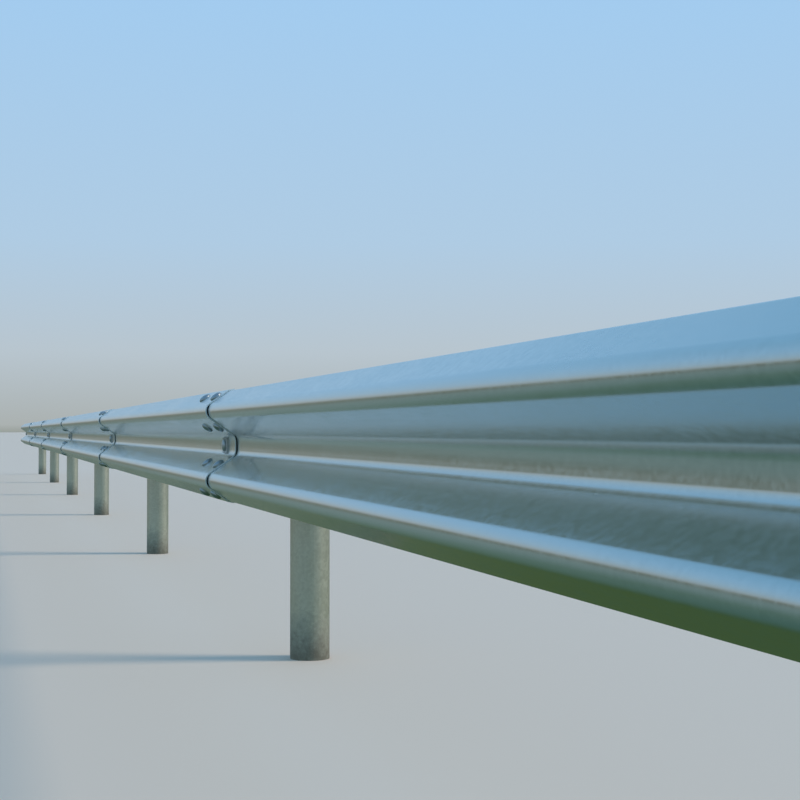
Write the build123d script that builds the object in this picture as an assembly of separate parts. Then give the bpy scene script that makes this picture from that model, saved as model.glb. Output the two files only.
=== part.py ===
from build123d import *
import math
import os

# A roadside guard rail of galvanised steel: two-wave beams, bolted through hollow six-sided
# spacer blocks to round pipe posts. Millimetres, +X along the rail, traffic on the -Y side,
# +Z up, with the origin on the ground at the middle post's axis.

# The row
post_spacing = 4000.0
bay_count = 6
rail_centre_height = 615.0

# Rolled sheet of a beam. Radii are those of the hollow side of each bend.
beam_sheet = 3.0
beam_depth = 85.0
wave_radius = 24.0
flank_angle = 55.0
valley_flat = 24.0
outer_flank = 29.0
lip_radius = 10.0
lip_angle = 10.0
lip_length = 14.0

# Slots at a beam's ends: four rows for the splice bolts in two columns, and one for the post bolt
end_margin = 50.0
column_pitch = 110.0
splice_slot_length = 30.0
splice_slot_width = 24.0
post_slot_length = 60.0
post_slot_width = 20.0

# Where one beam's end lies over the next, and where a beam lies on its block
lap_clearance = 0.2
beam_seat_clearance = 0.3

# Post, a length of pipe standing out of the ground
post_diameter = 114.0
post_wall = 4.5

# Cap pressed over the post's top
cap_sheet = 2.0
cap_clearance = 0.3
cap_skirt = 26.0
cap_rise = 14.0
cap_flat_radius = 30.0
cap_edge = 1.5
cap_above_block = 6.0

# Spacer block, a plate bent to a six-sided tube, its back hollowed to the post
block_plate = 4.5
block_depth = 178.0
block_width = 196.0
block_height = 200.0
block_front = 100.0
block_shoulder = 92.0
block_bend_radius = 5.0
seat_half_angle = 46.0
seat_clearance = 0.3

# Bolts of 16 mm go through all of these
bolt_hole = 18.0

# Worked out from the above
post_count = bay_count + 1
origin_post = bay_count // 2 + 1
lap_length = 2 * (end_margin + column_pitch)
beam_length = post_spacing + lap_length
post_radius = post_diameter / 2
post_height = rail_centre_height + block_height / 2 + cap_above_block + cap_skirt
seat_radius = post_radius + seat_clearance
block_face = -(seat_radius + block_depth)
beam_back = block_face - beam_seat_clearance
slope = math.radians(flank_angle)
lap_offset = (beam_sheet + lap_clearance) / math.cos(slope)
beam_turn = -math.degrees(math.atan(lap_offset / post_spacing))

# Section plane of a beam: x is the height from its middle, y the distance towards the traffic
section = Plane(origin=(0, 0, 0), x_dir=(0, 0, 1), z_dir=(1, 0, 0))


def post_x(number):
    """Place of a post along the rail, counted from 1."""
    return (number - origin_post) * post_spacing


def slot_cutter(place, length, width, reach):
    """A round-ended slot along the rail, cut to both sides of the plane given."""
    return extrude(place * SlotOverall(length, width), amount=reach, both=True)


def hole_cutter(place, diameter, reach):
    """A round hole cut to both sides of the plane given."""
    return extrude(place * Circle(diameter / 2), amount=reach, both=True)


def beam_upper_line():
    """Back of the sheet from the valley's middle over the upper crest to the upper lip."""
    tight = wave_radius
    wide = wave_radius + beam_sheet
    rise = beam_depth - beam_sheet
    inner_flank = (rise - (tight + wide) * (1 - math.cos(slope))) / math.sin(slope)
    valley = Line((0, 0), (valley_flat / 2, 0))
    valley_bend = JernArc(valley @ 1, valley % 1, wide, flank_angle)
    inner = PolarLine(valley_bend @ 1, inner_flank, direction=valley_bend % 1)
    crest = JernArc(inner @ 1, inner % 1, tight, -2 * flank_angle)
    outer = PolarLine(crest @ 1, outer_flank, direction=crest % 1)
    lip_bend = JernArc(outer @ 1, outer % 1, lip_radius + beam_sheet, flank_angle - lip_angle)
    lip = PolarLine(lip_bend @ 1, lip_length, direction=lip_bend % 1)
    return valley, valley_bend, inner, crest, outer, lip_bend, lip


def flank_rows():
    """The planes of the four rows of splice slots, square to the flanks at their middles."""
    line = beam_upper_line()
    rows = []
    for flank in (line[2], line[4]):
        middle = flank @ 0.5
        along = flank % 0.5
        for side in (1, -1):
            normal = section.from_local_coords(Vector(-side * along.Y, along.X, 0))
            centre = section.from_local_coords(Vector(side * middle.X, middle.Y, 0))
            rows.append((centre, normal))
    return rows


def make_beam():
    """A two-wave beam, its length along X from the left post's slot at the origin."""
    half = make_face(Wire(beam_upper_line()).offset_2d(beam_sheet, side=Side.LEFT))
    outline = half + mirror(half, Plane.YZ)
    beam = Pos(-lap_length / 2, 0, 0) * extrude(section * outline, amount=beam_length)
    reach = 3 * beam_sheet
    cutters = []
    for post in (0, post_spacing):
        for column in (post - column_pitch, post + column_pitch):
            for centre, normal in flank_rows():
                place = Plane(centre + Vector(column, 0, 0), x_dir=(1, 0, 0), z_dir=normal)
                cutters.append(slot_cutter(place, splice_slot_length, splice_slot_width, reach))
        place = Plane((post, 0, 0), x_dir=(1, 0, 0), z_dir=(0, 1, 0))
        cutters.append(slot_cutter(place, post_slot_length, post_slot_width, reach))
    return beam - cutters


def make_post():
    """A pipe with the through hole for the block's bolt, its foot on the ground."""
    pipe = Circle(post_radius) - Circle(post_radius - post_wall)
    post = extrude(pipe, amount=post_height)
    across = Plane((0, 0, rail_centre_height), z_dir=(0, 1, 0))
    return post - hole_cutter(across, bolt_hole, post_diameter)


def make_post_cap():
    """A pressed cap: a skirt round the pipe, a shoulder on the pipe's end and a low cone."""
    bore = post_radius + cap_clearance
    outer = bore + cap_sheet
    cone = post_radius - post_wall
    with BuildSketch(Plane.XZ) as half:
        with BuildLine():
            Polyline(
                (0, cap_rise),
                (cap_flat_radius, cap_rise),
                (cone, 0),
                (bore, 0),
                (bore, -cap_skirt),
                (outer, -cap_skirt),
                (outer, cap_sheet - cap_edge),
                (outer - cap_edge, cap_sheet),
                (cone, cap_sheet),
                (cap_flat_radius, cap_rise + cap_sheet),
                (0, cap_rise + cap_sheet),
                close=True,
            )
        make_face()
    return revolve(half.sketch, Axis.Z)


def make_block():
    """The six-sided tube with a flat front for the beam and a hollow back for the post."""
    half_angle = math.radians(seat_half_angle)
    tip_x = seat_radius * math.sin(half_angle)
    tip_y = -seat_radius * math.cos(half_angle)
    shoulder_y = block_face + block_shoulder
    sides = Polyline(
        (-tip_x, tip_y),
        (-block_width / 2, shoulder_y),
        (-block_front / 2, block_face),
        (block_front / 2, block_face),
        (block_width / 2, shoulder_y),
        (tip_x, tip_y),
    )
    seat = ThreePointArc((tip_x, tip_y), (0, -seat_radius), (-tip_x, tip_y))
    outline = make_face(Curve() + [sides, seat])
    outline = fillet(outline.vertices(), block_bend_radius + block_plate)
    tube = outline - offset(outline, amount=-block_plate)
    block = Pos(0, 0, rail_centre_height - block_height / 2) * extrude(tube, amount=block_height)
    front = Plane((0, block_face, rail_centre_height), z_dir=(0, 1, 0))
    back = Plane((0, -seat_radius, rail_centre_height), z_dir=(0, 1, 0))
    block -= hole_cutter(front, bolt_hole, 3 * block_plate)
    block -= hole_cutter(back, bolt_hole, 3 * block_plate)
    return block


def save(shape, name):
    """One STEP file for one named piece."""
    export_step(shape, os.path.join("parts", name + ".step"))


os.makedirs("parts", exist_ok=True)

beam = make_beam()
for number in range(1, bay_count + 1):
    turn = beam_turn if number < bay_count else 0.0
    place = Pos(post_x(number), beam_back, rail_centre_height) * Rot(0, 0, turn)
    save(place * beam, f"beam_{number}")

post = make_post()
cap = make_post_cap()
block = make_block()
for number in range(1, post_count + 1):
    along = Pos(post_x(number), 0, 0)
    save(along * post, f"post_{number}")
    save(along * block, f"block_{number}")
    save(along * Pos(0, 0, post_height) * cap, f"post_cap_{number}")
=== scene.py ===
import math

import bmesh
import bpy
from mathutils import Matrix, Vector


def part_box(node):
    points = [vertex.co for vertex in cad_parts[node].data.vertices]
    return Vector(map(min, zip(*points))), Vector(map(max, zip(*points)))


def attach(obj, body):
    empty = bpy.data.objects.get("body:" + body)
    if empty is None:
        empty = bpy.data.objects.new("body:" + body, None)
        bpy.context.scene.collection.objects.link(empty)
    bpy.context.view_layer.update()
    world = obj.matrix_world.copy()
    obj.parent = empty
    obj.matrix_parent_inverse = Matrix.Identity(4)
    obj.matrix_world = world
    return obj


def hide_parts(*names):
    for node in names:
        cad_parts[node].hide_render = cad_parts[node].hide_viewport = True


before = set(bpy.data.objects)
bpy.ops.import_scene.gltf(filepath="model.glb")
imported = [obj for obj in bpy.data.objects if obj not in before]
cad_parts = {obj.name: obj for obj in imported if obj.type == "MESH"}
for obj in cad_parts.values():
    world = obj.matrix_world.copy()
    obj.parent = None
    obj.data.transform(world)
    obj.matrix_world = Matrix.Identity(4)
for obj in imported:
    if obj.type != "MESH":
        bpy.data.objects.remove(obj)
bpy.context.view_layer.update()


# Camera
# A low view along the traffic side of the rail. The vanishing point of the rail and the horizon
# are in pixels from the left and the top of a picture 800 pixels square.
picture = 800
focal_pixels = 1559.0
vanishing_x = -20.0
horizon_y = 432.3
beam_low, beam_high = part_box("beam_6")
rail_middle = (beam_low.z + beam_high.z) / 2
camera_place = Vector((12.432, -0.924, rail_middle + 0.0405))

vanishing_side = picture / 2 - vanishing_x
view_turn = math.atan2(vanishing_side, focal_pixels)
view_rise = math.atan2(horizon_y - picture / 2, math.hypot(focal_pixels, vanishing_side))
camera_data = bpy.data.cameras.new("view")
camera_data.sensor_width = 36.0
camera_data.lens = camera_data.sensor_width * focal_pixels / picture
camera = bpy.data.objects.new("view", camera_data)
camera.location = camera_place
camera.rotation_euler = (math.pi / 2 + view_rise, 0, math.pi / 2 - view_turn)
bpy.context.scene.collection.objects.link(camera)
bpy.context.scene.camera = camera


# Posts
# Lengths of steel pipe, 114 mm across, driven upright into the verge. They are dipped in zinc,
# which sets in faint crystals and upright runs, and the rain has thrown soil on their feet.
bay_count = sum(name.startswith("beam_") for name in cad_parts)
post_numbers = range(1, bay_count + 2)
cloud_scale = 3.1
grain_scale = 900.0
relief_height = 0.0006
dust_colour = (0.40, 0.38, 0.33)
dust_rough = 0.5
soil_reach = 0.17
soil_thin = 0.35 * soil_reach
soil_thick = -0.5 * soil_reach
soil_cover = 0.85
soil_colour = (0.17, 0.135, 0.095)
soil_rough = 0.85
spatter_scale = 60.0


def put(tree, kind, inputs, result=0, **settings):
    """A node of a finish, with its settings, values and links, given as one of its results."""
    made = tree.nodes.new(kind)
    for key, value in settings.items():
        setattr(made, key, value)
    for key, value in inputs.items():
        socket = made.inputs[key]
        if isinstance(value, bpy.types.NodeSocket):
            tree.links.new(value, socket)
        elif socket.type == "RGBA":
            socket.default_value = (*value, 1)
        else:
            socket.default_value = value
    return made.outputs[result]


def maths(tree, operation, *numbers):
    """A sum on numbers, each a plain one or what another node gives."""
    return put(tree, "ShaderNodeMath", dict(enumerate(numbers)), operation=operation)


def vector_maths(tree, operation, *vectors):
    """A sum on vectors, each a plain one or what another node gives."""
    return put(tree, "ShaderNodeVectorMath", dict(enumerate(vectors)), operation=operation)


def axis_of(tree, vector, axis):
    """One of a vector's three numbers."""
    return put(tree, "ShaderNodeSeparateXYZ", {0: vector}, axis)


def fade(tree, value, start, end, low=0.0, high=1.0, curve="LINEAR"):
    """A number that goes from low to high while the value goes from start to end."""
    return put(tree, "ShaderNodeMapRange", {"Value": value, "From Min": start, "From Max": end,
                                            "To Min": low, "To Max": high}, interpolation_type=curve)


def noise(tree, place, scale, detail, roughness=0.5, result="Fac"):
    """Cloudy noise, as one number or, where the result asked for is Color, as three."""
    return put(tree, "ShaderNodeTexNoise", {"Vector": place, "Scale": scale, "Detail": detail,
                                            "Roughness": roughness}, result)


def weigh(tree, base, shares):
    """A base value plus each pattern's distance from its middle, times its share."""
    total = base
    for pattern, share in shares:
        centred = maths(tree, "SUBTRACT", pattern, 0.5)
        total = maths(tree, "MULTIPLY_ADD", centred, share, total)
    return put(tree, "ShaderNodeClamp", {0: total})


def blend_colours(tree, share, low, high):
    """The colour that lies a share of the way from one to another."""
    return put(tree, "ShaderNodeMix", {0: share, 6: low, 7: high}, 2, data_type="RGBA")


def blend_values(tree, share, low, high):
    """The number that lies a share of the way from one to another."""
    return put(tree, "ShaderNodeMix", {0: share, 2: low, 3: high})


def dipped_zinc(name, dark, bright, shine, crystal, runs, relief, dust, metal):
    """Hot-dipped zinc: crystals, cloudy patches, runs along one way, and dust on what faces up.

    crystal is the width of one, in metres, and runs is how often they repeat in a metre each way.
    """
    finish = bpy.data.materials.new(name)
    finish.use_nodes = True
    tree = finish.node_tree
    surface = tree.nodes["Principled BSDF"]
    place = put(tree, "ShaderNodeTexCoord", {}, "Object")

    bend = noise(tree, place, scale=0.7 / crystal, detail=2.0, result="Color")
    uneven = vector_maths(tree, "MULTIPLY_ADD", bend, (crystal,) * 3, place)
    cells = put(tree, "ShaderNodeTexVoronoi", {"Vector": uneven, "Scale": 1 / crystal}, "Color")
    cells = put(tree, "ShaderNodeSeparateColor", {0: cells})
    clouds = noise(tree, place, scale=cloud_scale, detail=6.0, roughness=0.62)
    along = put(tree, "ShaderNodeMapping", {"Vector": place, "Scale": runs})
    lines = noise(tree, along, scale=1.0, detail=4.0, roughness=0.6)
    grain = noise(tree, place, scale=grain_scale, detail=2.0)

    facing = put(tree, "ShaderNodeNewGeometry", {}, "Normal")
    lies = fade(tree, axis_of(tree, facing, "Z"), start=0.1, end=0.9, high=dust)
    lies = maths(tree, "MULTIPLY", lies, clouds)

    shade = weigh(tree, 0.5, ((clouds, 0.7), (cells, 0.3), (lines, 0.45)))
    colour = blend_colours(tree, shade, dark, bright)
    colour = blend_colours(tree, lies, colour, dust_colour)
    rough = weigh(tree, shine, ((cells, 0.08), (clouds, 0.12), (lines, 0.07)))
    rough = maths(tree, "MULTIPLY_ADD", lies, dust_rough, rough)
    bare = blend_values(tree, lies, metal, 0.0)

    height = weigh(tree, 0.5, ((clouds, 0.3), (lines, 0.5), (grain, 0.12)))
    bump = put(tree, "ShaderNodeBump", {"Height": height, "Strength": relief,
                                        "Distance": relief_height})
    for socket, value in (("Base Color", colour), ("Roughness", rough), ("Metallic", bare),
                          ("Normal", bump)):
        tree.links.new(value, surface.inputs[socket])
    return finish


def lay_over(finish, cover, colour, rough, metal):
    """A second finish over the first, where its cover says that it lies."""
    tree = finish.node_tree
    inputs = tree.nodes["Principled BSDF"].inputs
    for socket, blend, over in (("Base Color", blend_colours, colour),
                                ("Roughness", blend_values, rough),
                                ("Metallic", blend_values, metal)):
        below = inputs[socket].links[0].from_socket
        tree.links.new(blend(tree, cover, below, over), inputs[socket])


def splash_soil(finish):
    """Soil over a finish, from the ground upwards, thinning out in uneven tongues."""
    tree = finish.node_tree
    place = put(tree, "ShaderNodeTexCoord", {}, "Object")
    spatter = noise(tree, place, scale=spatter_scale, detail=5.0, roughness=0.7)
    tongues = maths(tree, "MULTIPLY_ADD", spatter, -soil_reach, axis_of(tree, place, "Z"))
    cover = fade(tree, tongues, start=soil_thin, end=soil_thick, high=soil_cover)
    lay_over(finish, cover, soil_colour, soil_rough, 0.0)


def dress(node_name, finish):
    """A finish in place of the plain one that a solid came with."""
    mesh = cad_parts[node_name].data
    mesh.materials.clear()
    mesh.materials.append(finish)


def post_axis(number):
    """The point on a post's axis that lies level with the middle of the rail."""
    low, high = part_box(f"post_{number}")
    return Vector(((low.x + high.x) / 2, (low.y + high.y) / 2, rail_middle))


post_zinc = dipped_zinc("post_zinc", dark=(0.45, 0.43, 0.34), bright=(0.71, 0.68, 0.55), shine=0.42,
                        crystal=0.007, runs=(45.0, 45.0, 2.5), relief=0.3, dust=0.3, metal=0.8)
splash_soil(post_zinc)
for number in post_numbers:
    dress(f"post_{number}", post_zinc)


# Post caps
# Pressed from 2 mm sheet and dipped on their own, so they are a little brighter than the pipe.
# The skirt grips the pipe, and dust and rain marks lie on the top.
cap_zinc = dipped_zinc("cap_zinc", dark=(0.44, 0.46, 0.44), bright=(0.66, 0.68, 0.65), shine=0.34,
                       crystal=0.006, runs=(30.0, 30.0, 12.0), relief=0.25, dust=0.6, metal=0.9)
for number in post_numbers:
    dress(f"post_cap_{number}", cap_zinc)


# Spacer blocks
# Six-sided tubes bent from plate, which hold the beam off the post. One upright seam on a
# slanting side closes the tube, and its bead shows ripples under the zinc.
block_low, block_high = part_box("block_4")
seam_place = Vector((0.0696, -0.0916, 0))
seam_out = Vector((0.877, 0.481, 0)).normalized()
bead_width = 0.0075
bead_height = 0.0022
bead_margin = 0.002
bead_length = block_high.z - block_low.z - 2 * bead_margin
bead_sides = 14
ripple = 0.0028
ripple_steps = 4
ripple_swell = 0.16
hand_swell = 0.05
hand_turn = 0.37
sharp_turn = math.radians(35)
tiny = 1e-6


def placed(origin, out, along):
    """A place whose Z points out of the steel and whose X lies along it."""
    turn = Matrix((along, out.cross(along), out)).transposed()
    return Matrix.Translation(origin) @ turn.to_4x4()


def joined_copies(name, template, places):
    """Copies of one part at its places, joined into one mesh."""
    joined = bmesh.new()
    for place in places:
        before = len(joined.verts)
        joined.from_mesh(template)
        joined.verts.ensure_lookup_table()
        bmesh.ops.transform(joined, matrix=place, verts=joined.verts[before:])
    mesh = bpy.data.meshes.new(name)
    joined.to_mesh(mesh)
    joined.free()
    return mesh


def set_out(name, template, places, finish):
    """Copies of one part at its places, as one finished piece."""
    mesh = joined_copies(name, template, places)
    for face in mesh.polygons:
        face.use_smooth = True
    mesh.set_sharp_from_angle(angle=sharp_turn)
    mesh.materials.append(finish)
    piece = bpy.data.objects.new(name, mesh)
    bpy.context.scene.collection.objects.link(piece)
    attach(piece, "root")
    return piece


def kept_mesh(work, name):
    """A finished bmesh as mesh data that can be copied to its places."""
    bmesh.ops.remove_doubles(work, verts=work.verts, dist=tiny)
    bmesh.ops.recalc_face_normals(work, faces=work.faces)
    mesh = bpy.data.meshes.new(name)
    work.to_mesh(mesh)
    work.free()
    return mesh


def draw_out(work, parts, way):
    """Edges or faces drawn out along a way, and the points and edges at the far end."""
    if isinstance(parts[0], bmesh.types.BMFace):
        grown = bmesh.ops.extrude_face_region(work, geom=parts)["geom"]
    else:
        grown = bmesh.ops.extrude_edge_only(work, edges=parts)["geom"]
    verts = [part for part in grown if isinstance(part, bmesh.types.BMVert)]
    edges = [part for part in grown if isinstance(part, bmesh.types.BMEdge)]
    bmesh.ops.translate(work, verts=verts, vec=way)
    return verts, edges


def weld_bead():
    """A rippled bead, rounded across, that lies along Y with its back sunk in the plate."""
    work = bmesh.new()
    ring = bmesh.ops.create_circle(work, segments=bead_sides, radius=bead_width / 2)["verts"]
    bmesh.ops.scale(work, verts=ring, vec=(1, 2 * bead_height / bead_width, 1))
    bmesh.ops.rotate(work, verts=ring, matrix=Matrix.Rotation(math.radians(90), 3, "X"))
    bmesh.ops.translate(work, verts=ring, vec=(0, -bead_length / 2, 0))
    bmesh.ops.contextual_create(work, geom=ring)
    edges = list(work.edges)
    step = ripple / ripple_steps
    width = 1.0
    for number in range(1, int(bead_length / step) + 1):
        verts, edges = draw_out(work, edges, (0, step, 0))
        swell = (1 + ripple_swell * math.sin(number * 2 * math.pi / ripple_steps)
                 + hand_swell * math.sin(number * hand_turn))
        bmesh.ops.scale(work, verts=verts, vec=(swell / width, 1, swell / width))
        width = swell
    bmesh.ops.contextual_create(work, geom=verts)
    return kept_mesh(work, "weld_bead")


block_zinc = dipped_zinc("block_zinc", dark=(0.42, 0.43, 0.40), bright=(0.64, 0.66, 0.61), shine=0.4,
                         crystal=0.007, runs=(50.0, 50.0, 4.0), relief=0.3, dust=0.35, metal=0.85)
bead = weld_bead()
seam_along = seam_out.cross(Vector((0, 0, 1)))
for number in post_numbers:
    dress(f"block_{number}", block_zinc)
    seam = placed(post_axis(number) + seam_place, seam_out, seam_along)
    set_out(f"block_seam_{number}", bead, [seam], block_zinc)


# Block bolts
# One M16 bolt runs right through the pipe and into each block's hollow back. Its round head lies
# on a washer curved to the pipe, and its nut inside the block on one curved to the block.
shank_radius = 0.008
thread_pitch = 0.002
thread_depth = 0.0007
thread_crest = (0.4 * thread_pitch, 0.6 * thread_pitch)
thread_ridges = 5
thread_sunk = 0.002
tip_length = 0.0008
tip_bevel = 0.001
nut_flats = 0.024
nut_height = 0.0148
nut_rim_bevel = 0.0012
nut_corner_bevel = 0.0006
nut_face_rim = 0.0016
nut_dish_width = 0.0008
nut_dish_depth = 0.0009
button_radius = 0.0175
button_height = 0.009
button_rim = 0.0018
button_step = math.radians(10)
saddle_size = 0.050
saddle_sheet = 0.003
post_radius = (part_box("post_4")[1].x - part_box("post_4")[0].x) / 2
block_plate = 0.0045
seat_gap = 0.0003
block_seat = post_radius + seat_gap + block_plate
front = Vector((0, -1, 0))
back = Vector((0, 1, 0))
right = Vector((1, 0, 0))


def lathe(name, profile, steps=28):
    """A turned part from its half section, given as distances from the axis and along it."""
    work = bmesh.new()
    verts = [work.verts.new((radius, 0, height)) for radius, height in profile]
    edges = [work.edges.new(pair) for pair in zip(verts, verts[1:])]
    bmesh.ops.spin(work, geom=verts + edges, cent=(0, 0, 0), axis=(0, 0, 1), angle=2 * math.pi,
                   steps=steps, use_merge=True)
    return kept_mesh(work, name)


def round_head():
    """A bolt's round head, which rises from a thin upright rim."""
    rise = button_height - button_rim
    arc = [button_step * step for step in range(1, 9)]
    dome = [(button_radius * math.cos(angle), button_rim + rise * math.sin(angle)) for angle in arc]
    return lathe("round_head", [(0, 0), (button_radius, 0), (button_radius, button_rim)] + dome
                 + [(0, button_height)])


def bevel(work, edges, width):
    """Edges rounded off by a width."""
    bmesh.ops.bevel(work, geom=edges, offset=width, offset_type="OFFSET", segments=2, profile=0.5,
                    affect="EDGES", material=-1)


def edge_height(edge):
    """How far an edge climbs."""
    return abs(edge.verts[0].co.z - edge.verts[1].co.z)


def hexagon_nut():
    """A nut: six flats, its corners taken off, and a dish round the thread."""
    work = bmesh.new()
    bmesh.ops.create_circle(work, cap_ends=True, segments=6, radius=nut_flats / math.sqrt(3))
    draw_out(work, list(work.faces), (0, 0, nut_height))
    bevel(work, [edge for edge in work.edges if edge_height(edge) < tiny], nut_rim_bevel)
    bevel(work, [edge for edge in work.edges if edge_height(edge) > nut_height / 2],
          nut_corner_bevel)
    lid = max(work.faces, key=lambda face: face.calc_center_median().z)
    bmesh.ops.inset_individual(work, faces=[lid], thickness=nut_face_rim)
    bmesh.ops.inset_individual(work, faces=[lid], thickness=nut_dish_width, depth=-nut_dish_depth)
    return kept_mesh(work, "hexagon_nut")


def threaded_end():
    """What shows of a bolt's far end: ridges of the thread, and a bevelled tip."""
    root = shank_radius - thread_depth
    profile = [(0, 0), (root, 0)]
    for ridge in range(thread_ridges):
        low = ridge * thread_pitch
        profile += [(shank_radius, low + thread_crest[0]), (shank_radius, low + thread_crest[1]),
                    (root, low + thread_pitch)]
    tip = thread_ridges * thread_pitch + tip_length
    return lathe("threaded_end", profile + [(root - tip_bevel, tip), (0, tip)], steps=20)


def give_wall(work, outwards, thickness):
    """A thickness for an open sheet, which grows on the side that faces a direction."""
    bmesh.ops.recalc_face_normals(work, faces=work.faces)
    if sum(face.normal.dot(outwards) for face in work.faces) > 0:
        bmesh.ops.reverse_faces(work, faces=work.faces)
    bmesh.ops.solidify(work, geom=list(work.faces), thickness=thickness)


def saddle(radius, side):
    """A square washer curved round the post's axis, on its front or its back."""
    work = bmesh.new()
    sweep = saddle_size / radius
    corner = work.verts.new((radius * math.sin(-sweep / 2), side * radius * math.cos(-sweep / 2),
                             -saddle_size / 2))
    bmesh.ops.spin(work, geom=[corner], cent=(0, 0, 0), axis=(0, 0, -side), angle=sweep, steps=10)
    draw_out(work, list(work.edges), (0, 0, saddle_size))
    give_wall(work, back * side, saddle_sheet)
    return kept_mesh(work, "saddle")


# The bolts' zinc is duller and darker than the other parts. Part of that darkness is painted shade,
# the shadow that falls on the bolts among the beams and blocks.
bolt_zinc_and_painted_shade = dipped_zinc("bolt_zinc_and_painted_shade", dark=(0.30, 0.32, 0.32), bright=(0.50, 0.53, 0.52), shine=0.42,
                        crystal=0.004, runs=(120.0, 120.0, 120.0), relief=0.35, dust=0.3, metal=0.92)
button_head = round_head()
hex_nut = hexagon_nut()
thread_end = threaded_end()
block_saddle = saddle(block_seat, side=-1)
post_saddle = saddle(post_radius, side=1)
for number in post_numbers:
    axis = post_axis(number)
    head_at = placed(axis + back * (post_radius + saddle_sheet), back, right)
    nut_place = axis + front * (block_seat + saddle_sheet)
    nut_at = placed(nut_place, front, right)
    end_at = placed(nut_place + front * (nut_height - thread_sunk), front, right)
    round_axis = Matrix.Translation(axis)
    set_out(f"block_bolt_head_{number}", button_head, [head_at], bolt_zinc_and_painted_shade)
    set_out(f"post_saddle_{number}", post_saddle, [round_axis], bolt_zinc_and_painted_shade)
    set_out(f"block_saddle_{number}", block_saddle, [round_axis], bolt_zinc_and_painted_shade)
    set_out(f"block_bolt_nut_{number}", hex_nut, [nut_at], bolt_zinc_and_painted_shade)
    set_out(f"block_bolt_end_{number}", thread_end, [end_at], bolt_zinc_and_painted_shade)


# Beams
# Two-wave beams rolled from 3 mm sheet, dipped, and bolted to each block and each other. Steep lips
# end the outer flanks, pushed outwards where a beam lies over the next. The smooth zinc mirrors
# the light in long bands, the valley's floor leans a little, and the sheared ends are dull, with a
# painted highlight in their pale colour.
beam_back = beam_high.y
beam_length = beam_high.x - beam_low.x
post_spacing = post_axis(2).x - post_axis(1).x
lap_forward = 0.0056
slope_drift = lap_forward / post_spacing
beam_sheet = 0.003
valley_half_flat = 0.012
wave_radius = 0.024
lip_radius = 0.010
lip_length = 0.014
lip_spread = 0.0053
bend_step = math.radians(1.25)
flank_slope = math.radians(55)
lip_slope = math.radians(80)
sine, cosine = math.sin(flank_slope), math.cos(flank_slope)
wave_rise = beam_high.y - beam_low.y - beam_sheet
inner_flank = (wave_rise - (2 * wave_radius + beam_sheet) * (1 - cosine)) / sine
crest_end = valley_half_flat + (3 * wave_radius + beam_sheet) * sine + inner_flank * cosine
lip_height = ((lip_radius + beam_sheet) * math.sin(lip_slope) - lip_radius * sine
              + lip_length * math.cos(lip_slope))
outer_flank = ((beam_high.z - beam_low.z) / 2 - crest_end - lip_height) / cosine
lip_start = crest_end + outer_flank * cosine
column_pitch = 0.110
splice_slot = (0.030, 0.024)
post_slot = (0.060, 0.020)
slot_sides = 32
punch_reach = 0.020


def half_section(work):
    """Half the section's back line, from the valley to a lip, and its straights' middles."""
    tip = work.verts.new((0, 0, 0))
    heading = 0.0
    middles = []
    for length, radius, turn in ((valley_half_flat, wave_radius + beam_sheet, flank_slope),
                                 (inner_flank, wave_radius, -2 * flank_slope),
                                 (outer_flank, lip_radius, flank_slope - lip_slope),
                                 (lip_length, 0.0, 0.0)):
        along = Vector((0, -math.sin(heading), math.cos(heading)))
        middles.append(tip.co + along * length / 2)
        tip = bmesh.ops.extrude_vert_indiv(work, verts=[tip])["verts"][0]
        bmesh.ops.translate(work, verts=[tip], vec=along * length)
        if radius:
            across = Vector((0, -math.cos(heading), -math.sin(heading)))
            centre = tip.co + across * math.copysign(radius, turn)
            swept = bmesh.ops.spin(work, geom=[tip], cent=centre, axis=(1, 0, 0), angle=turn,
                                   steps=round(abs(turn) / bend_step))["geom_last"]
            tip = next(part for part in swept if isinstance(part, bmesh.types.BMVert))
        heading += turn
    return middles


def beam_blank():
    """A beam before its slots, X from its left post and Z from its middle, and its flanks' middles."""
    work = bmesh.new()
    rows = half_section(work)[1:3]
    bmesh.ops.translate(work, verts=work.verts, vec=((post_spacing - beam_length) / 2, 0, 0))
    bmesh.ops.mirror(work, geom=list(work.verts) + list(work.edges), axis="Z", merge_dist=tiny)
    far_end = draw_out(work, list(work.edges), (beam_length, 0, 0))[0]
    for side in (1, -1):
        lip = [vert for vert in far_end if side * vert.co.z > lip_start - tiny]
        bmesh.ops.translate(work, verts=lip, vec=(0, lip_spread * sine, side * lip_spread * cosine))
    give_wall(work, front, beam_sheet)
    return kept_mesh(work, "beam_blank"), rows


def slot_punch(length, width):
    """A punch for a round-ended slot along X."""
    work = bmesh.new()
    rim = bmesh.ops.create_circle(work, cap_ends=True, segments=slot_sides,
                                  radius=width / 2)["verts"]
    for side in (1, -1):
        end = [vert for vert in rim if side * vert.co.x > tiny]
        bmesh.ops.translate(work, verts=end, vec=(side * (length - width) / 2, 0, 0))
    draw_out(work, list(work.faces), (0, 0, punch_reach))
    bmesh.ops.translate(work, verts=work.verts, vec=(0, 0, -punch_reach / 2))
    return kept_mesh(work, "slot_punch")


def flank_places(post_x, forward, drift):
    """Where eight bolts cross the sheet's back at a post, and the way out to the traffic at each."""
    places = []
    for column in (-column_pitch, column_pitch):
        for row, tilt in zip(flank_rows, (-1, 1)):
            for side in (1, -1):
                point = Vector((post_x + column, row.y - forward - column * drift, side * row.z))
                places.append((point, Vector((0, -cosine, side * tilt * sine))))
    return places


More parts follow.
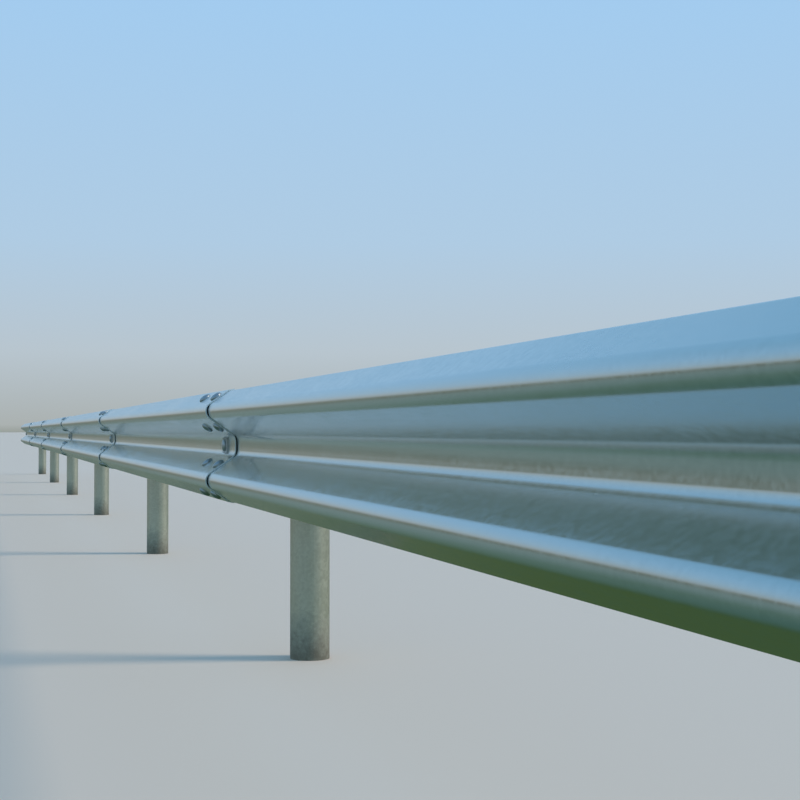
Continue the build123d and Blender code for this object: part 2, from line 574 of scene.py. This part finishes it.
def punched(sheet, punches):
    """The sheet with holes where the punches pass through it."""
    blank = bpy.data.objects.new("blank", sheet)
    helpers = [blank]
    for punch in punches:
        tool = bpy.data.objects.new("punch", punch)
        cut = blank.modifiers.new("cut", "BOOLEAN")
        cut.operation = "DIFFERENCE"
        cut.solver = "EXACT"
        cut.object = tool
        helpers.append(tool)
    for helper in helpers:
        bpy.context.scene.collection.objects.link(helper)
    made = bpy.data.meshes.new_from_object(blank.evaluated_get(bpy.context.evaluated_depsgraph_get()))
    for helper in helpers:
        bpy.data.objects.remove(helper)
    return made


beam_zinc = dipped_zinc("beam_zinc", dark=(0.49, 0.56, 0.55), bright=(0.63, 0.70, 0.69), shine=0.20,
                        crystal=0.008, runs=(0.8, 150.0, 150.0), relief=0.04, dust=0.06, metal=0.88)
beam_tree = beam_zinc.node_tree
beam_facing = put(beam_tree, "ShaderNodeNewGeometry", {}, "Normal")
beam_place = put(beam_tree, "ShaderNodeTexCoord", {}, "Object")

# The sheared ends are dull bare steel, rougher and barely metallic; their pale colour is a painted
# highlight that stands in for the light the ends would catch.
cut_starts = 0.90
cut_full = 0.97
cut_painted_highlight_colour = (0.80, 0.83, 0.80)
cut_rough = 0.5
cut_metal = 0.1
endways = maths(beam_tree, "ABSOLUTE", axis_of(beam_tree, beam_facing, "X"))
cut_end_dull_and_highlight = fade(beam_tree, endways, cut_starts, cut_full)
lay_over(beam_zinc, cut_end_dull_and_highlight, cut_painted_highlight_colour, cut_rough, cut_metal)

floor_low = -0.007
floor_high = 0.012
floor_lean = 0.18
floor_fade = 0.030
from_middle = maths(beam_tree, "SUBTRACT", axis_of(beam_tree, beam_place, "Z"), rail_middle)
lean = fade(beam_tree, from_middle, floor_low, floor_high, high=floor_lean)
on_floor = fade(beam_tree, from_middle, floor_high, floor_fade, low=1.0, high=0.0,
                curve="SMOOTHSTEP")
lean = maths(beam_tree, "MULTIPLY", lean, on_floor)
lean = maths(beam_tree, "MULTIPLY", lean, axis_of(beam_tree, beam_facing, "Y"))
lean = put(beam_tree, "ShaderNodeCombineXYZ", {"Z": lean})
leaning = vector_maths(beam_tree, "ADD", beam_facing, lean)
leaning = vector_maths(beam_tree, "NORMALIZE", leaning)
beam_bump = beam_tree.nodes["Principled BSDF"].inputs["Normal"].links[0].from_node
beam_tree.links.new(leaning, beam_bump.inputs["Normal"])

blank, flank_rows = beam_blank()
end_posts = (0.0, post_spacing)
splice_places = [placed(point, out, right) for post_x in end_posts
                 for point, out in flank_places(post_x, forward=0.0, drift=0.0)]
post_places = [placed(Vector((post_x, 0, 0)), front, right) for post_x in end_posts]
splice_punches = joined_copies("splice_punches", slot_punch(*splice_slot), splice_places)
post_punches = joined_copies("post_punches", slot_punch(*post_slot), post_places)
rolled = punched(blank, (splice_punches, post_punches))
for number in range(1, bay_count + 1):
    dress(f"beam_{number}", beam_zinc)
    turn = -math.atan(slope_drift) if number < bay_count else 0.0
    place = (Matrix.Translation((post_axis(number).x, beam_back, rail_middle))
             @ Matrix.Rotation(turn, 4, "Z"))
    piece = set_out(f"rolled_beam_{number}", rolled, [place], beam_zinc)
    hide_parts(f"beam_{number}")


# Post bolts
# A round-headed M16 bolt through the beam's valley into each block's front. A plate washer bent
# to the valley spreads its load, and its nut turns inside the block.
plate_length = 0.076
plate_half_width = 0.022
plate_sheet = 0.004
plate_gap = 0.0001
washer_radius = 0.0175
washer_sheet = 0.0035
washer_edge = 0.0004


def valley_plate():
    """The plate washer: flat over the valley's floor and bent up its sides, Z to the traffic."""
    work = bmesh.new()
    bend = math.asin((plate_half_width - valley_half_flat) / wave_radius)
    corner = work.verts.new((-plate_length / 2, -valley_half_flat, 0))
    bmesh.ops.spin(work, geom=[corner], cent=(0, -valley_half_flat, wave_radius), axis=(1, 0, 0),
                   angle=-bend, steps=5)
    bmesh.ops.mirror(work, geom=list(work.verts) + list(work.edges), axis="Y", merge_dist=tiny)
    floor_ends = sorted(work.verts, key=lambda vert: abs(abs(vert.co.y) - valley_half_flat))[:2]
    work.edges.new(floor_ends)
    draw_out(work, list(work.edges), (plate_length, 0, 0))
    give_wall(work, Vector((0, 0, 1)), plate_sheet)
    return kept_mesh(work, "valley_plate")


round_washer = lathe("round_washer", [(0, 0), (washer_radius, 0),
                                      (washer_radius, washer_sheet - washer_edge),
                                      (washer_radius - washer_edge, washer_sheet),
                                      (0, washer_sheet)])
plate = valley_plate()
for number in post_numbers:
    post_x = post_axis(number).x
    lapped = 1 < number <= bay_count
    beam_front = beam_back - beam_sheet - (lap_forward if lapped else 0) - plate_gap
    seat = Vector((post_x, beam_front, rail_middle))
    inside = Vector((post_x, block_low.y + block_plate, rail_middle))
    nut_place = inside + back * washer_sheet
    plate_at = placed(seat, front, right)
    head_at = placed(seat + front * plate_sheet, front, right)
    washer_at = placed(inside, back, right)
    nut_at = placed(nut_place, back, right)
    end_at = placed(nut_place + back * (nut_height - thread_sunk), back, right)
    set_out(f"post_bolt_plate_{number}", plate, [plate_at], bolt_zinc_and_painted_shade)
    set_out(f"post_bolt_head_{number}", button_head, [head_at], bolt_zinc_and_painted_shade)
    set_out(f"post_bolt_washer_{number}", round_washer, [washer_at], bolt_zinc_and_painted_shade)
    set_out(f"post_bolt_nut_{number}", hex_nut, [nut_at], bolt_zinc_and_painted_shade)
    set_out(f"post_bolt_end_{number}", thread_end, [end_at], bolt_zinc_and_painted_shade)


# Splice bolts
# Eight M16 bolts clamp each lap, four rows on the sloping flanks in two columns either side of
# the post. The round heads face the traffic, and the washers and nuts lie in the hollows behind.
half_stack = 0.0031
nut_base = half_stack + washer_sheet
end_base = nut_base + nut_height - thread_sunk
for number in range(2, bay_count + 1):
    heads = []
    washers = []
    nuts = []
    ends = []
    for point, out in flank_places(post_axis(number).x, lap_forward / 2, slope_drift):
        middle = point + Vector((0, beam_back, rail_middle)) + out * (beam_sheet / 2)
        heads.append(placed(middle + out * half_stack, out, right))
        washers.append(placed(middle - out * half_stack, -out, right))
        nuts.append(placed(middle - out * nut_base, -out, right))
        ends.append(placed(middle - out * end_base, -out, right))
    set_out(f"splice_heads_{number}", button_head, heads, bolt_zinc_and_painted_shade)
    set_out(f"splice_washers_{number}", round_washer, washers, bolt_zinc_and_painted_shade)
    set_out(f"splice_nuts_{number}", hex_nut, nuts, bolt_zinc_and_painted_shade)
    set_out(f"splice_ends_{number}", thread_end, ends, bolt_zinc_and_painted_shade)


# Floor and light
# A plain pale floor under one soft dome of light, pale blue above and dark green below, which the
# metal mirrors in place of the floor. A wide soft lamp stands behind the rail, above the field.
floor_half = 900.0
floor_colour = (0.86, 0.67, 0.51, 1)
floor_rough = 0.9
dome_top = (
    (0.00, (0.40, 0.43, 0.42)),
    (0.05, (0.48, 0.56, 0.62)),
    (0.12, (0.43, 0.60, 0.77)),
    (0.28, (0.36, 0.60, 0.87)),
    (0.50, (0.25, 0.51, 0.78)),
    (1.00, (0.14, 0.34, 0.70)),
)
road_side = (
    (0.00, (0.30, 0.31, 0.27)),
    (0.04, (0.19, 0.21, 0.17)),
    (0.11, (0.22, 0.29, 0.28)),
    (0.20, (0.19, 0.27, 0.26)),
    (0.32, (0.12, 0.20, 0.16)),
    (0.55, (0.06, 0.14, 0.12)),
    (1.00, (0.05, 0.10, 0.07)),
)
field_side = (
    (0.00, (0.20, 0.26, 0.24)),
    (0.10, (0.17, 0.21, 0.15)),
    (0.28, (0.065, 0.11, 0.04)),
    (1.00, (0.03, 0.09, 0.04)),
)
horizon_blur = 0.004
road_ends = -0.1
field_starts = 0.15
lamp_strength = 1.8
lamp_spread = math.radians(18)
lamp_colour = (1.0, 0.95, 0.86)
lamp_turn = (math.radians(-58), 0, math.radians(-14))

floor_work = bmesh.new()
bmesh.ops.create_grid(floor_work, x_segments=1, y_segments=1, size=floor_half)
floor_mesh = bpy.data.meshes.new("floor")
floor_work.to_mesh(floor_mesh)
floor_work.free()
floor = bpy.data.objects.new("floor", floor_mesh)
floor_paint = bpy.data.materials.new("floor")
floor_paint.use_nodes = True
floor_surface = floor_paint.node_tree.nodes["Principled BSDF"]
floor_surface.inputs["Base Color"].default_value = floor_colour
floor_surface.inputs["Roughness"].default_value = floor_rough
floor_mesh.materials.append(floor_paint)
floor.visible_glossy = False
floor.visible_diffuse = False
bpy.context.scene.collection.objects.link(floor)


def ramp(tree, value, stops):
    """A colour that passes through the stops given as the value rises from 0 to 1."""
    made = tree.nodes.new("ShaderNodeValToRGB")
    tree.links.new(value, made.inputs[0])
    points = made.color_ramp.elements
    for place, colour in stops[1:-1]:
        points.new(place)
    for point, (place, colour) in zip(points, stops):
        point.position = place
        point.color = (*colour, 1)
    return made.outputs[0]


dome = bpy.data.worlds.new("dome")
bpy.context.scene.world = dome
dome.use_nodes = True
dome_tree = dome.node_tree
way = put(dome_tree, "ShaderNodeTexCoord", {}, "Generated")
rise = axis_of(dome_tree, way, "Z")
fall = maths(dome_tree, "MULTIPLY", rise, -1.0)
above = fade(dome_tree, rise, -horizon_blur, horizon_blur)
beyond = fade(dome_tree, axis_of(dome_tree, way, "Y"), road_ends, field_starts)
below_colour = blend_colours(dome_tree, beyond, ramp(dome_tree, fall, road_side),
                             ramp(dome_tree, fall, field_side))
dome_colour = blend_colours(dome_tree, above, below_colour, ramp(dome_tree, rise, dome_top))
dome_tree.links.new(dome_colour, dome_tree.nodes["Background"].inputs["Color"])

lamp_data = bpy.data.lights.new("soft_lamp", "SUN")
lamp_data.energy = lamp_strength
lamp_data.angle = lamp_spread
lamp_data.color = lamp_colour
lamp = bpy.data.objects.new("soft_lamp", lamp_data)
lamp.rotation_euler = lamp_turn
bpy.context.scene.collection.objects.link(lamp)
bpy.context.scene.view_settings.view_transform = "Standard"
